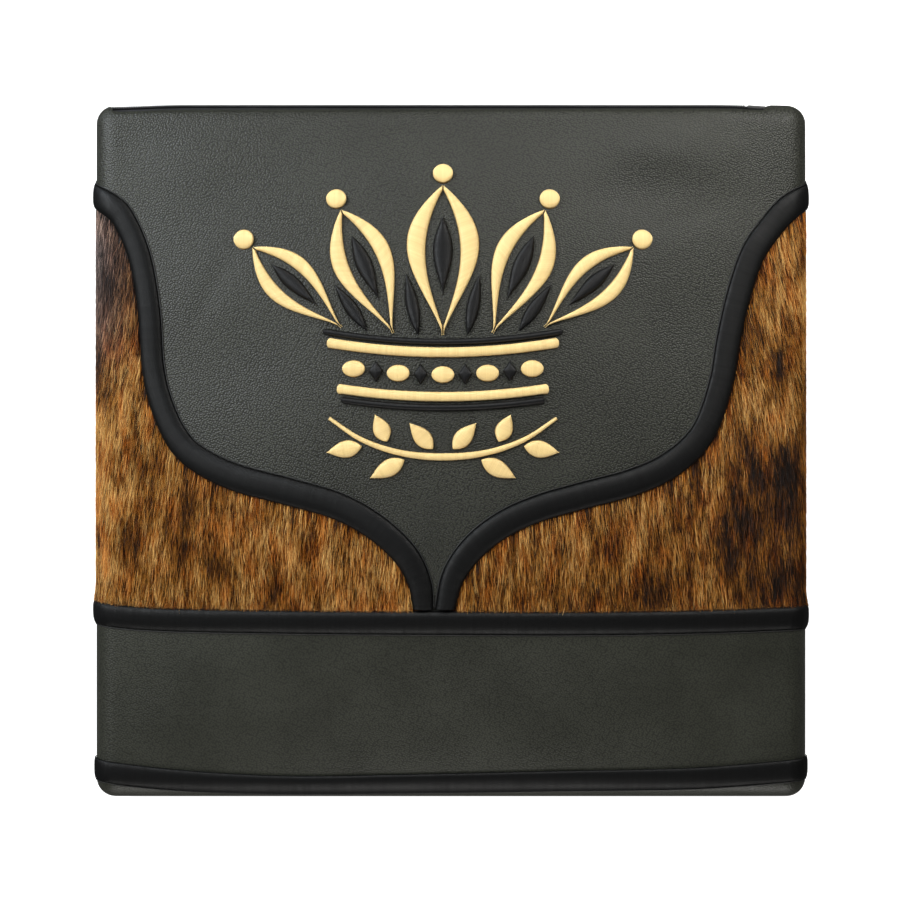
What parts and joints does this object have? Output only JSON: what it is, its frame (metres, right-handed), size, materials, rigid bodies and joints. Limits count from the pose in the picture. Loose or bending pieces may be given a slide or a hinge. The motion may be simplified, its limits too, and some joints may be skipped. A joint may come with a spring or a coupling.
{
  "type": "tallit and tefillin bag",
  "caption": "Square zipped leather pouch with a shaped front panel, cowhide side panels, padded satin trims and an embroidered crown, lying on its back.",
  "frame": {"origin": "middle of the flat patch of the back on which the bag lies", "axes": "+X to the bag's right as its front is seen, +Y towards the zip, +Z out of the front"},
  "size_m": [0.3652, 0.352, 0.0521],
  "materials": {
    "leather": "soft black pebble-grained leather with a satin sheen",
    "hide": "brindle cowhide with short straight brown, golden and black hair",
    "trim_satin": "padded black satin stitch",
    "gold_thread": "glossy gold satin stitch",
    "black_thread": "glossy black satin stitch",
    "zip_tape": "woven black tape",
    "zip_coil": "black nylon coil",
    "zip_slider": "black enamel"
  },
  "bodies": {
    "root": {"shield_panel": "leather", "base_panel": "leather", "back_panel": "leather", "hide_panel_left": "hide", "hide_panel_right": "hide", "curved_trim_left": "trim_satin", "curved_trim_right": "trim_satin", "upper_band_trim": "trim_satin", "lower_band_trim": "trim_satin", "zip_tape_front": "zip_tape", "zip_tape_back": "zip_tape", "zip_teeth": "zip_coil", "zip_slider": "zip_slider", "crown_bar_lower": "gold_thread", "crown_bar_upper": "gold_thread", "crown_edge_lower": "black_thread", "crown_edge_upper": "black_thread", "crown_oval_1": "gold_thread", "crown_oval_2": "gold_thread", "crown_oval_3": "gold_thread", "crown_oval_4": "gold_thread", "crown_oval_5": "gold_thread", "crown_lozenge_1": "black_thread", "crown_lozenge_2": "black_thread", "crown_lozenge_3": "black_thread", "crown_lozenge_4": "black_thread", "crown_leaf_middle_a": "gold_thread", "crown_leaf_middle_b": "gold_thread", "crown_leaf_inner_left_a": "gold_thread", "crown_leaf_inner_left_b": "gold_thread", "crown_leaf_inner_right_a": "gold_thread", "crown_leaf_inner_right_b": "gold_thread", "crown_leaf_outer_left_a": "gold_thread", "crown_leaf_outer_left_b": "gold_thread", "crown_leaf_outer_right_a": "gold_thread", "crown_leaf_outer_right_b": "gold_thread", "crown_rib_middle": "black_thread", "crown_rib_inner_left": "black_thread", "crown_rib_inner_right": "black_thread", "crown_rib_outer_left": "black_thread", "crown_rib_outer_right": "black_thread", "crown_ball_middle": "gold_thread", "crown_ball_inner_left": "gold_thread", "crown_ball_inner_right": "gold_thread", "crown_ball_outer_left": "gold_thread", "crown_ball_outer_right": "gold_thread", "crown_small_leaf_inner_left": "black_thread", "crown_small_leaf_inner_right": "black_thread", "crown_small_leaf_outer_left": "black_thread", "crown_small_leaf_outer_right": "black_thread", "garland_stem": "gold_thread", "garland_leaf_left_1": "gold_thread", "garland_leaf_left_2": "gold_thread", "garland_leaf_left_3": "gold_thread", "garland_leaf_left_4": "gold_thread", "garland_leaf_right_1": "gold_thread", "garland_leaf_right_2": "gold_thread", "garland_leaf_right_3": "gold_thread", "garland_leaf_right_4": "gold_thread"}
  },
  "joints": []
}
